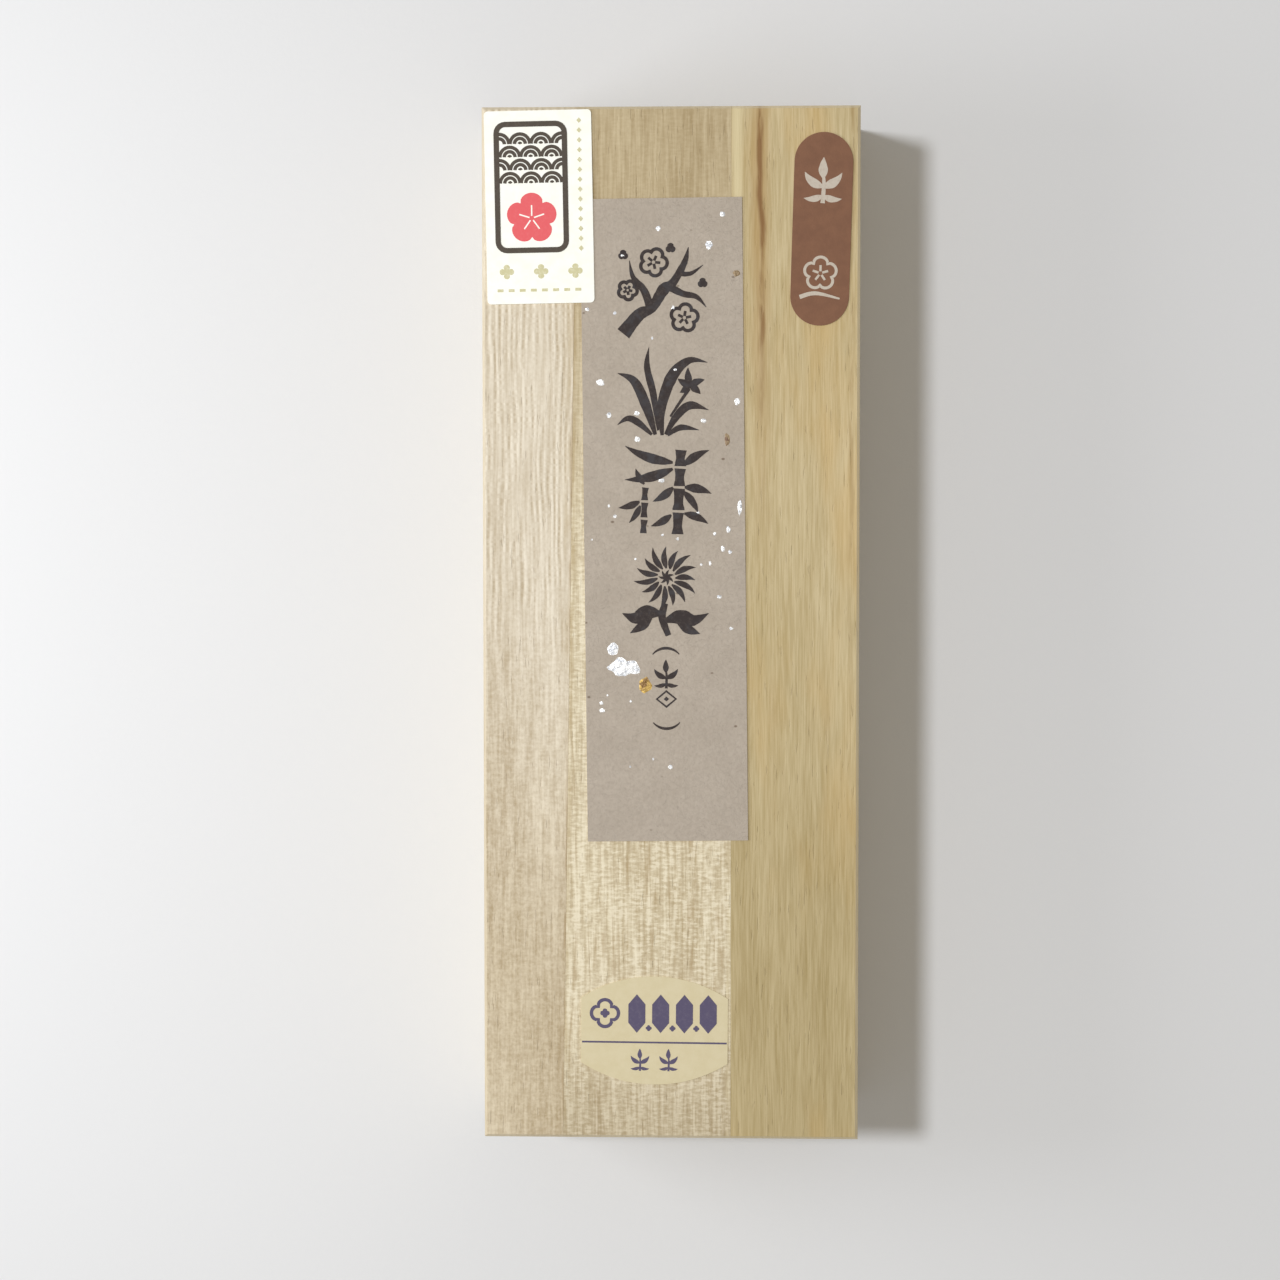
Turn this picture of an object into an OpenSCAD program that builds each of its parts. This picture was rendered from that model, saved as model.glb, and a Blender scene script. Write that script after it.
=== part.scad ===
// Boxed ink stick: a moulded calligraphy ink stick on a padded bed, in a paulownia case.
// Millimetres. +X across the case, +Y towards the head of the labels, +Z up out of the lid.
// The origin is at the centre of the case's underside.

/* [Case] */
// Width of the case
case_w = 55; // [52:1:70]
// Length of the case
case_l = 151; // [148:1:180]
// Thickness of the side and end walls
wall_t = 5.5; // [4:0.5:6]
// Thickness of the floor board
floor_t = 4.5; // [3:0.5:6]
// Height of the walls above the floor board
wall_h = 20; // [20:1:26]

/* [Lid] */
// Thickness of the lid board
lid_t = 5.5; // [4:0.5:8]
// Width of each batten glued under the lid
batten_w = 4; // [3:0.5:4]
// Depth of each batten glued under the lid
batten_h = 5; // [3:0.5:5]
// Gap left between the battens and the walls all round
lid_gap = 0.4; // [0.3:0.1:0.8]
// Width of the chamfer that takes the sharpness off the outer edges
chamfer = 0.4; // [0.2:0.1:0.8]

/* [Ink stick] */
// Width of the stick
stick_w = 27; // [20:1:28]
// Length of the stick
stick_l = 118; // [100:1:122]
// Thickness of the stick
stick_t = 11.5; // [9:0.5:11.5]
// Radius of the stick's rounded edges
stick_round = 2.2; // [1:0.2:3]
// Width of the raised rim round the moulded field
stick_rim = 2.6; // [2:0.2:3]
// Depth of the moulded field below the rim
field_depth = 0.8; // [0.4:0.1:1.2]

/* [Bed] */
// Thickness of the card under the padding
card_t = 1.2; // [0.8:0.2:1.6]
// Height of the padded rim above the card
rim_h = 9.3; // [8:0.1:10]
// How deep the stick sinks into the bed
nest_depth = 6.5; // [4:0.5:6.5]
// Thickness of the covering cloth
cloth_t = 0.5; // [0.4:0.1:0.8]
// Gap between the bed and the walls all round
bed_gap = 0.4; // [0.3:0.1:0.8]

/* [Labels] */
// Thickness of the title slip
slip_t = 0.2; // [0.15:0.05:0.3]
// Thickness of the stickers
sticker_t = 0.15; // [0.15:0.05:0.3]
// Width of the title slip
slip_w = 23.5; // [23:0.5:24]
// Length of the title slip
slip_l = 93.7; // [90:0.1:96]

/* [Hidden] */
$fn = 48;
eps = 0.01;

wood_pale = [0.86, 0.80, 0.68];
wood_mid = [0.82, 0.76, 0.63];
wood_yellow = [0.76, 0.69, 0.50];
wood_peg = [0.72, 0.60, 0.40];
ink_black = [0.10, 0.10, 0.10];

// Case: heights, and the joint that lets each end board into the side boards
rim_z = floor_t + wall_h;
top_z = rim_z + lid_t;
room_w = case_w - 2 * wall_t;
room_l = case_l - 2 * wall_t;
lip_t = 2;
peg_r = 0.9;
peg_ease = 0.02;
peg_flush = 0.05;
side_peg_l = 9;
floor_peg_l = floor_t + 5;
side_peg_z = [floor_t + 0.3 * wall_h, floor_t + 0.7 * wall_h];
floor_peg_y = [-50, 0, 50];
wall_mid_x = case_w / 2 - wall_t / 2;
wall_mid_y = case_l / 2 - wall_t / 2;

// Lid: the two glue lines, seen from above; the left one runs at a slant
joint_right_x = 8.8;
joint_left_foot_x = -15.9;
joint_left_head_x = -13.6;
batten_lead = 1;
frame_w = room_w - 2 * lid_gap;
frame_l = room_l - 2 * lid_gap;

// Labels: size, [x, y] of the centre measured in from the lid's edges, and the angle each sits at
slip_at = [-0.9, case_l / 2 - 13.25 - slip_l / 2];
slip_turn = 0.6;
seal_size = [15.6, 27.9];
seal_at = [-case_w / 2 + 8.4, case_l / 2 - 14.5];
seal_turn = 1;
kind_size = [8.5, 27.9];
kind_at = [case_w / 2 - 5.6, case_l / 2 - 17.8];
kind_turn = -1.7;
price_size = [21.6, 16];
price_at = [-2.4, -case_l / 2 + 16];
price_turn = -0.4;
price_rise = 3.2;
sticker_round = 0.6;

// Foil flakes on the slip, measured from the slip's centre: [x, y, width, length, turn]
flake_t = 0.06;
silver_scraps = [
    [-6.2, -21.4, 4.4, 2.9, 10], [-7.7, -18.6, 1.9, 1.7, 70], [11.0, 1.8, 0.9, 2.1, 0],
    [7.0, 40.0, 1.4, 1.3, 120], [-9.1, 20.2, 1.2, 1.1, 20], [8.9, 44.4, 0.9, 0.9, 0],
    [-0.4, 42.5, 0.7, 0.9, 20], [-3.8, 11.9, 1.0, 0.9, 30], [8.5, -4.1, 0.7, 1.0, 0],
    [9.5, -4.6, 0.6, 0.7, 20], [10.8, 17.3, 0.9, 1.1, 20], [9.3, -1.3, 0.8, 0.9, 0],
    [-0.3, 5.9, 1.1, 0.6, 15], [-7.9, 15.5, 0.8, 0.8, 45], [-3.9, 15.7, 0.8, 0.8, 0],
    [-9.4, -27.6, 0.8, 0.7, 0], [-9.5, -26.5, 0.6, 0.6, 30], [5.8, 14.5, 1.0, 0.6, 20],
    [7.9, -11.1, 0.8, 0.6, 0], [0.5, -36.0, 0.8, 0.6, 40], [-5.7, 38.6, 0.6, 0.6, 0],
    [-10.9, 30.9, 0.6, 0.6, 0], [-6.9, 30.3, 0.5, 0.5, 0], [1.6, 30.9, 0.5, 0.7, 0],
    [-1.5, 26.6, 0.4, 0.4, 0], [1.8, 22.0, 0.6, 0.5, 0], [-8.1, 2.3, 0.45, 0.45, 0],
    [-7.2, 0.8, 0.55, 0.5, 0], [4.9, 1.2, 0.55, 0.55, 0], [7.3, -1.9, 0.5, 0.5, 0],
    [-0.3, -2.0, 0.4, 0.4, 0], [1.9, -2.6, 0.45, 0.45, 0], [-10.6, -2.6, 0.35, 0.35, 0],
    [-4.3, -5.5, 0.35, 0.35, 0], [5.3, -6.4, 0.45, 0.45, 0], [6.6, -6.2, 0.35, 0.8, -20],
    [9.6, -15.8, 0.55, 0.5, 0], [-5.2, -26.3, 0.4, 0.4, 0], [-8.6, -25.4, 0.3, 0.3, 0],
    [-2.0, -34.8, 0.35, 0.35, 0], [-5.4, -35.9, 0.3, 0.3, 0]
];
gold_scraps = [[-3.0, -24.1, 1.8, 2.6, 20], [10.8, 35.8, 1.2, 0.8, 30], [9.2, 11.7, 0.9, 1.8, -10]];

// Bed and stick: heights from the floor board up
card_z = floor_t;
pad_z = card_z + card_t;
bed_top_z = pad_z + rim_h;
nest_z = bed_top_z - nest_depth;
bed_w = room_w - 2 * bed_gap;
bed_l = room_l - 2 * bed_gap;
nest_gap = 0.35;
nest_w = stick_w + 2 * nest_gap;
nest_l = stick_l + 2 * nest_gap;
bed_chamfer = 1.6;
stick_z = nest_z;
field_w = stick_w - 2 * stick_rim;
field_l = stick_l - 2 * stick_rim;
field_round = 1.6;

// Bamboo moulded on the stick's face: [x, y, length, turn] of each leaf, from where it joins the cane
relief_h = 0.5;
cane_x = 5.2;
cane_w = 2.2;
cane_joints = [-52, -31, -8, 17, 41, 52];
leaves = [
    [4.2, 44, 14, 140], [4.2, 41, 14, 168], [6.2, 42, 8, 68],
    [4.2, 20, 14, 130], [4.2, 17, 14, 158], [6.2, 18, 8, 62],
    [4.2, -5, 13, 138], [4.2, -8, 14, 166], [6.2, -8, 6.5, 55],
    [4.2, -28, 13, 145], [4.2, -31, 13.5, 170]
];
leaf_ratio = 0.2;

// ---------- shared shapes ----------

module rounded_rect(w, l, r) {
    square([w - 2 * r, l], center = true);
    square([w, l - 2 * r], center = true);
    for (x = [-1, 1], y = [-1, 1])
        translate([x * (w / 2 - r), y * (l / 2 - r)]) circle(r);
}

// Upright section of a board whose top edges are chamfered
module board_section(w, t, c) {
    polygon([[-w / 2, 0], [w / 2, 0], [w / 2, t - c], [w / 2 - c, t], [c - w / 2, t], [-w / 2, t - c]]);
}

// A board that stands on z = 0, with its four top edges chamfered
module chamfered_board(w, l, t, c) {
    intersection() {
        rotate([90, 0, 0]) linear_extrude(l, center = true) board_section(w, t, c);
        rotate([90, 0, 90]) linear_extrude(w, center = true) board_section(l, t, c);
    }
}

// A pointed leaf or lens shape along +X from the origin: two arcs that cross at its tips
module lens(length, width) {
    r = (pow(length / 2, 2) + pow(width / 2, 2)) / width;
    translate([length / 2, 0])
        intersection() {
            translate([0, r - width / 2]) circle(r, $fn = 96);
            translate([0, width / 2 - r]) circle(r, $fn = 96);
        }
}

module at_label(at, turn) {
    translate([at[0], at[1], top_z]) rotate(turn) children();
}

// ---------- base ----------

module floor_peg_places() {
    for (x = [-wall_mid_x, wall_mid_x], y = floor_peg_y) translate([x, y, 0]) children();
    for (y = [-wall_mid_y, wall_mid_y]) translate([0, y, 0]) children();
}

module side_peg_places() {
    for (x = [-1, 1], y = [-wall_mid_y, wall_mid_y], z = side_peg_z)
        translate([x * case_w / 2, y, z]) rotate([0, -90 * x, 0]) children();
}

module peg_holes() {
    floor_peg_places() translate([0, 0, -1]) cylinder(floor_peg_l + 1, peg_r + peg_ease, peg_r + peg_ease);
    side_peg_places() translate([0, 0, -1]) cylinder(side_peg_l + 1, peg_r + peg_ease, peg_r + peg_ease);
}

module base_floor() {
    color(wood_mid)
        difference() {
            translate([0, 0, floor_t]) mirror([0, 0, 1]) chamfered_board(case_w, case_l, floor_t, chamfer);
            peg_holes();
        }
}

// side is -1 for the left wall and 1 for the right one
module base_side(side) {
    color(wood_mid)
        difference() {
            translate([side * wall_mid_x, 0, floor_t + wall_h / 2])
                cube([wall_t, case_l, wall_h], center = true);
            for (y = [-1, 1])
                translate([side * (case_w / 2 - lip_t - wall_t / 2), y * wall_mid_y, floor_t + wall_h / 2])
                    cube([wall_t, wall_t, wall_h + 1], center = true);
            peg_holes();
        }
}

// end is 1 for the head of the case and -1 for the foot
module base_end(end) {
    color(wood_mid)
        difference() {
            translate([0, end * wall_mid_y, floor_t + wall_h / 2])
                cube([case_w - 2 * lip_t, wall_t, wall_h], center = true);
            peg_holes();
        }
}

module side_pegs() {
    color(wood_peg)
        side_peg_places() translate([0, 0, peg_flush]) cylinder(side_peg_l - peg_flush, peg_r, peg_r);
}

module floor_pegs() {
    color(wood_peg)
        floor_peg_places() translate([0, 0, peg_flush]) cylinder(floor_peg_l - peg_flush, peg_r, peg_r);
}

// ---------- lid ----------

// The part of the lid board whose outline, seen from above, is the given points
module lid_strip(points) {
    intersection() {
        translate([0, 0, rim_z]) chamfered_board(case_w, case_l, lid_t, chamfer);
        translate([0, 0, rim_z - 1]) linear_extrude(lid_t + 2) polygon(points);
    }
}

// x of the slanted glue line at a place along the lid
function joint_left_x(y) =
    joint_left_foot_x + (joint_left_head_x - joint_left_foot_x) * (y / case_l + 0.5);

reach_x = case_w / 2 + 1;
reach_y = case_l / 2 + 1;

module lid_strip_left() {
    color(wood_pale)
        lid_strip([[-reach_x, -reach_y], [joint_left_x(-reach_y), -reach_y],
                   [joint_left_x(reach_y), reach_y], [-reach_x, reach_y]]);
}

module lid_strip_centre() {
    color(wood_mid)
        lid_strip([[joint_left_x(-reach_y), -reach_y], [joint_right_x, -reach_y],
                   [joint_right_x, reach_y], [joint_left_x(reach_y), reach_y]]);
}

module lid_strip_right() {
    color(wood_yellow)
        lid_strip([[joint_right_x, -reach_y], [reach_x, -reach_y],
                   [reach_x, reach_y], [joint_right_x, reach_y]]);
}

// A batten along Y whose outer face is at x = 0 and whose lower outer edge is eased
module batten(l) {
    translate([0, 0, rim_z]) mirror([0, 0, 1])
        rotate([90, 0, 0]) linear_extrude(l, center = true)
            polygon([[0, 0], [batten_w, 0], [batten_w, batten_h], [batten_lead, batten_h],
                     [0, batten_h - batten_lead]]);
}

module long_batten(side) {
    color(wood_mid)
        translate([side * frame_w / 2, 0, 0]) rotate(side > 0 ? 180 : 0) batten(frame_l);
}

module short_batten(end) {
    color(wood_mid)
        translate([0, end * frame_l / 2, 0]) rotate(end > 0 ? -90 : 90) batten(frame_w - 2 * batten_w);
}

// ---------- labels ----------

module slip_body(t) {
    at_label(slip_at, slip_turn) linear_extrude(t) square([slip_w, slip_l], center = true);
}

module title_slip() {
    color([0.71, 0.67, 0.61]) slip_body(slip_t);
}

// A torn fleck of foil, as an outline of uneven corners
module flake(size_x, size_y, turn, seed) {
    jitter = rands(0.72, 1.0, 9, seed);
    rotate(turn)
        linear_extrude(flake_t)
            polygon([for (i = [0:8])
                [size_x / 2 * jitter[i] * cos(40 * i), size_y / 2 * jitter[i] * sin(40 * i)]]);
}

module flakes_at(list) {
    at_label(slip_at, slip_turn)
        for (i = [0:len(list) - 1])
            translate([list[i][0], list[i][1], slip_t]) flake(list[i][2], list[i][3], list[i][4], i);
}

module silver_flakes() {
    color([0.9, 0.9, 0.92]) flakes_at(silver_scraps);
}

module gold_flakes() {
    color([0.80, 0.62, 0.25]) flakes_at(gold_scraps);
}

// It laps over the slip's corner, so the slip is cut out of its underside
module seal_sticker() {
    color([0.98, 0.97, 0.91])
        difference() {
            at_label(seal_at, seal_turn)
                linear_extrude(slip_t + sticker_t) rounded_rect(seal_size[0], seal_size[1], sticker_round);
            slip_body(slip_t);
        }
}

module kind_label() {
    color([0.52, 0.38, 0.29])
        at_label(kind_at, kind_turn)
            linear_extrude(sticker_t) rounded_rect(kind_size[0], kind_size[1], kind_size[0] / 2 - eps);
}

// Straight sides and bowed ends, like a barrel on its side
module barrel_outline(w, h, rise) {
    r = (w * w / 4 + rise * rise) / (2 * rise);
    intersection() {
        square([w, h], center = true);
        translate([0, h / 2 - r]) circle(r, $fn = 96);
        translate([0, r - h / 2]) circle(r, $fn = 96);
    }
}

module price_sticker() {
    color([0.87, 0.83, 0.69])
        at_label(price_at, price_turn)
            linear_extrude(sticker_t) barrel_outline(price_size[0], price_size[1], price_rise);
}

// ---------- bed ----------

module bed_card() {
    color([0.75, 0.72, 0.66])
        translate([-bed_w / 2, -bed_l / 2, card_z]) cube([bed_w, bed_l, card_t]);
}

// The padded block with its nest, shrunk by the given amount under its skin
module padded_block(skin) {
    difference() {
        translate([0, 0, pad_z])
            chamfered_board(bed_w - 2 * skin, bed_l - 2 * skin, rim_h - skin, bed_chamfer);
        translate([0, 0, nest_z - skin])
            linear_extrude(rim_h) rounded_rect(nest_w + 2 * skin, nest_l + 2 * skin, 2);
    }
}

module bed_wadding() {
    color([0.95, 0.94, 0.90]) padded_block(cloth_t);
}

module bed_cloth() {
    color([0.88, 0.82, 0.66])
        difference() {
            padded_block(0);
            padded_block(cloth_t);
        }
}

// ---------- ink stick ----------

module stick_blank() {
    intersection() {
        linear_extrude(stick_t) rounded_rect(stick_w, stick_l, stick_round);
        translate([0, 0, stick_t / 2]) rotate([90, 0, 0])
            linear_extrude(stick_l, center = true) rounded_rect(stick_w, stick_t, stick_round);
        translate([0, 0, stick_t / 2]) rotate([90, 0, 90])
            linear_extrude(stick_w, center = true) rounded_rect(stick_l, stick_t, stick_round);
    }
}

module bamboo_relief() {
    linear_extrude(relief_h) {
        for (i = [0:len(cane_joints) - 2])
            translate([cane_x, (cane_joints[i] + cane_joints[i + 1]) / 2])
                rounded_rect(cane_w, cane_joints[i + 1] - cane_joints[i] - 0.7, 0.5);
        for (leaf = leaves)
            translate([leaf[0], leaf[1]]) rotate(leaf[3]) lens(leaf[2], leaf[2] * leaf_ratio);
    }
}

module ink_stick() {
    color(ink_black)
        translate([0, 0, stick_z]) {
            difference() {
                stick_blank();
                translate([0, 0, stick_t - field_depth])
                    linear_extrude(stick_t) rounded_rect(field_w, field_l, field_round);
                translate([0, 0, -1])
                    linear_extrude(1 + field_depth) rounded_rect(field_w, field_l, field_round);
            }
            translate([0, 0, stick_t - field_depth]) bamboo_relief();
        }
}

base_floor();
base_side(-1);  // base_side_left
base_side(1);  // base_side_right
base_end(1);  // base_end_head
base_end(-1);  // base_end_foot
side_pegs();
floor_pegs();
lid_strip_left();
lid_strip_centre();
lid_strip_right();
long_batten(-1);  // lid_batten_left
long_batten(1);  // lid_batten_right
short_batten(1);  // lid_batten_head
short_batten(-1);  // lid_batten_foot
title_slip();
silver_flakes();
gold_flakes();
seal_sticker();
kind_label();
price_sticker();
bed_card();
bed_wadding();
bed_cloth();
ink_stick();
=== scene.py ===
"""A boxed ink stick: its looks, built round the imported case, bed and stick. Metres, in the case's frame."""
import math

import bmesh
import bpy
from mathutils import Matrix, Vector, noise


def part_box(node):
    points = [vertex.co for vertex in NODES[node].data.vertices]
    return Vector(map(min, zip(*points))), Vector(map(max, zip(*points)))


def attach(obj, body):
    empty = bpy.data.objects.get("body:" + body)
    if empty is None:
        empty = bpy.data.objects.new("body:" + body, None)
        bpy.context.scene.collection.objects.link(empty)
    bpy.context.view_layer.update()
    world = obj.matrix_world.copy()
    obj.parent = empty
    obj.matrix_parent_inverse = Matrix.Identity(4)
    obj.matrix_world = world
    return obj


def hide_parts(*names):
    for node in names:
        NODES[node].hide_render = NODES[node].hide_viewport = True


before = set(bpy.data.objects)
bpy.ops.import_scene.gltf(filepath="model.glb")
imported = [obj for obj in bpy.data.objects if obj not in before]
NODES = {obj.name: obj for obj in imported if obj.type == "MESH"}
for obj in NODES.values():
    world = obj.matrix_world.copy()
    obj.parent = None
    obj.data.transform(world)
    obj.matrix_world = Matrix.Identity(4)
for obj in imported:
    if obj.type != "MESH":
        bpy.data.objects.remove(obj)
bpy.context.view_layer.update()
MM = 0.001


# ---------- camera, light and floor ----------

# The camera stands over the lid, a little to the head and right of its middle, and leans back to it
CAMERA_AT = Vector((13.94, 21.37, 480.0)) * MM
CAMERA_TURN = (-0.0518, 0.0409, -0.0006)
CAMERA_LENS = 86.74
# (place in mm, width in m, watts) of the high key light and of the low, near light on the left
KEY_LIGHT = ((-500, 190, 1400), 0.16, 10.8)
SIDE_LIGHT = ((-270, 10, 180), 0.14, 0.34)
LIGHT_COLOR = (0.93, 0.96, 1.0)
# The soft light from all round: warm overhead, and paler and stronger near the horizon
FILL_OVERHEAD = (0.380, 0.359, 0.319, 1)
FILL_HORIZON = (0.80, 0.80, 0.79, 1)
HORIZON_BAND = 0.24
FLOOR_REACH = 3.0
# A hair above the case's underside and its pegs, so that the wood shows from below
FLOOR_Z = 0.06 * MM


def assign(thing, **values):
    for key, value in values.items():
        setattr(thing, key, value)
    return thing


def modify(obj, name, kind, **values):
    return assign(obj.modifiers.new(name, kind), **values)


def new_object(name, data):
    obj = bpy.data.objects.new(name, data)
    bpy.context.scene.collection.objects.link(obj)
    return obj


def soft_room():
    world = bpy.data.worlds.new("soft_room")
    world.use_nodes = True
    sky = Nodes(world.node_tree)
    direction = sky.add("ShaderNodeTexCoord").outputs["Generated"]
    height = sky.add("ShaderNodeSeparateXYZ", {"Vector": direction}).outputs[2]
    light = sky.mix(sky.span(height, 0.0, HORIZON_BAND), FILL_HORIZON, FILL_OVERHEAD)
    sky.feed(sky.tree.nodes["Background"].inputs["Color"], light)
    return world


def set_stage():
    scene = bpy.context.scene
    scene.view_settings.view_transform = "Standard"

    camera = new_object("camera", bpy.data.cameras.new("camera"))
    assign(camera, location=CAMERA_AT, rotation_euler=CAMERA_TURN)
    assign(camera.data, lens=CAMERA_LENS, clip_start=0.01)
    scene.camera = camera

    for name, (place, size, power) in (("key", KEY_LIGHT), ("side", SIDE_LIGHT)):
        light = new_object(name, bpy.data.lights.new(name, "AREA"))
        assign(light.data, shape="DISK", size=size, energy=power, color=LIGHT_COLOR)
        light.location = Vector(place) * MM
        light.rotation_euler = (-light.location).to_track_quat("-Z", "Y").to_euler()

    scene.world = soft_room()

    mesh = bpy.data.meshes.new("floor")
    corners = [(x * FLOOR_REACH, y * FLOOR_REACH, FLOOR_Z) for x, y in ((-1, -1), (1, -1), (1, 1), (-1, 1))]
    mesh.from_pydata(corners, [], [(0, 1, 2, 3)])
    floor = new_object("floor", mesh)
    floor.data.materials.append(floor_finish())


# ---------- material nodes ----------

def paint(red, green, blue):
    """A colour from 0 to 255 as it looks on a screen, as the linear colour that a shader takes."""
    def linear(c):
        c /= 255
        return c / 12.92 if c <= 0.04045 else ((c + 0.055) / 1.055) ** 2.4
    return (linear(red), linear(green), linear(blue), 1)


class Nodes:
    """A node tree. Each method adds a node and gives back the socket that it ends in."""

    def __init__(self, tree):
        self.tree = tree

    def feed(self, socket, value):
        if isinstance(value, bpy.types.NodeSocket):
            self.tree.links.new(value, socket)
        else:
            socket.default_value = value

    def add(self, kind, inputs=None, **settings):
        node = assign(self.tree.nodes.new(kind), **settings)
        for key, value in (inputs or {}).items():
            self.feed(node.inputs[key], value)
        return node

    def span(self, value, low, high, to_low=0.0, to_high=1.0):
        return self.add("ShaderNodeMapRange", {
            "Value": value, "From Min": low, "From Max": high, "To Min": to_low, "To Max": to_high},
            interpolation_type="SMOOTHSTEP").outputs[0]

    def mix(self, share, a, b, blend="MIX"):
        """Either colour may be a socket, a screen colour of three numbers or a linear one of four."""
        node = self.add("ShaderNodeMix", data_type="RGBA", blend_type=blend)
        self.feed(node.inputs[0], share)
        for socket, color in ((6, a), (7, b)):
            screen = isinstance(color, tuple) and len(color) == 3
            self.feed(node.inputs[socket], paint(*color) if screen else color)
        return node.outputs[2]


class Finish(Nodes):
    """One material, with its patterns laid out in the object's own space."""

    def __init__(self, name, **surface):
        self.material = bpy.data.materials.new(name)
        self.material.use_nodes = True
        super().__init__(self.material.node_tree)
        self.source = self.add("ShaderNodeTexCoord").outputs["Object"]
        for word, value in surface.items():
            self.set(word.replace("_", " ").title().replace("Ior", "IOR"), value)

    def set(self, socket, value):
        self.feed(self.tree.nodes["Principled BSDF"].inputs[socket], value)

    def turned(self, angle):
        """Turns the space that all the patterns are laid out in."""
        turn = {"Vector": self.source, "Rotation": (0, 0, angle)}
        self.source = self.add("ShaderNodeMapping", turn).outputs[0]

    def place(self, x, y=None, z=None, shift=0.0):
        """The object's own space, with this many pattern units to a mm along each axis, or along all."""
        y, z = (x, x) if y is None else (y, z)
        return self.add("ShaderNodeMapping", {
            "Vector": self.source, "Scale": (x / MM, y / MM, z / MM), "Location": (shift,) * 3}).outputs[0]

    def spots(self):
        """Where each point lies, as x, y and z in mm."""
        return self.add("ShaderNodeSeparateXYZ", {"Vector": self.place(1)}).outputs

    def noise(self, place, detail=2.0, roughness=0.5, distortion=0.0):
        return self.add("ShaderNodeTexNoise", {
            "Vector": place, "Scale": 1.0, "Detail": detail, "Roughness": roughness,
            "Distortion": distortion}).outputs["Fac"]

    def cells(self, place, output="Distance"):
        return self.add("ShaderNodeTexVoronoi", {"Vector": place, "Scale": 1.0}).outputs[output]

    def facets(self, per_mm):
        """A level from 0 to 1 for each cell."""
        color = self.cells(self.place(per_mm), output="Color")
        return self.add("ShaderNodeSeparateColor", {"Color": color}).outputs[0]

    def math(self, operation, a, b=0.0):
        node = self.add("ShaderNodeMath", operation=operation)
        self.feed(node.inputs[0], a)
        self.feed(node.inputs[1], b)
        return node.outputs[0]

    def chain(self, operation, values):
        result = values[0]
        for value in values[1:]:
            result = self.math(operation, result, value)
        return result

    def times(self, *values):
        return self.chain("MULTIPLY", values)

    def plus(self, *values):
        return self.chain("ADD", values)

    def minus(self, a, b):
        return self.math("SUBTRACT", a, b)

    def bump(self, height, depth, over=None):
        """Height from 0 to 1 stands for depth millimetres."""
        inputs = {"Height": height, "Distance": depth * MM, "Strength": 1.0}
        if over is not None:
            inputs["Normal"] = over
        return self.add("ShaderNodeBump", inputs).outputs[0]

    def facing(self, axis):
        """1 on faces square to the axis (0, 1 or 2) and 0 on faces along it."""
        normal = self.add("ShaderNodeTexCoord").outputs["Normal"]
        return self.math("ABSOLUTE", self.add("ShaderNodeSeparateXYZ", {"Vector": normal}).outputs[axis])


def floor_finish():
    f = Finish("floor_paper", roughness=0.75)
    cloud = f.noise(f.place(0.004), 1)
    f.set("Base Color", f.mix(cloud, (223, 223, 225), (230, 230, 231)))
    f.set("Normal", f.bump(f.noise(f.place(1.5)), 0.02))
    return f.material


# Marks that the wood carries over its own two tones
COMB_PER_MM = 1.12
RAY_PALE = (246, 237, 214)
RAY_DARK = (178, 158, 124)
LINE_BROWN = (168, 142, 100)
WARM_PATCH = (206, 172, 108)
PORE_BROWN = (156, 132, 96)
END_PALE = (198, 179, 143)
END_DARK = (166, 141, 102)
END_PORE = (122, 98, 66)
HANDLED_EDGE = (0.5, (216, 203, 176))
# Painted shade: the colour laid on the case's sloping edge faces to stand for the shadow in the groove along
# the seam.
GROOVE_PAINTED_SHADE = (0.5, (140, 120, 88))


class Streak:
    """A brown or pale line along a board: where it crosses y = 0, how far it leans to each millimetre of y,
    half its width, its colour and strength, and the y that it fades in from and is full at."""

    def __init__(self, x, lean, width, color, strength, fade=None, broken=True, wander=0.5):
        self.x, self.lean, self.width, self.color, self.strength = x, lean, width, color, strength
        self.fade, self.broken, self.wander = fade, broken, wander

    def mask(self, f, x, y, seed):
        wave = f.minus(f.noise(f.place(0.02, 0.09, 0.02, seed), 2), 0.5)
        path = f.plus(self.x, f.times(y, self.lean), f.times(wave, 2 * self.wander))
        off = f.math("ABSOLUTE", f.minus(x, path))
        mask = f.times(f.span(off, self.width, self.width * 0.15), self.strength)
        if self.broken:
            gaps = f.noise(f.place(0.9, 0.13, 0.6, seed + 10), 3)
            mask = f.times(mask, f.span(gaps, 0.34, 0.62))
        if self.fade:
            mask = f.times(mask, f.span(y, *self.fade))
        return mask


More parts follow.
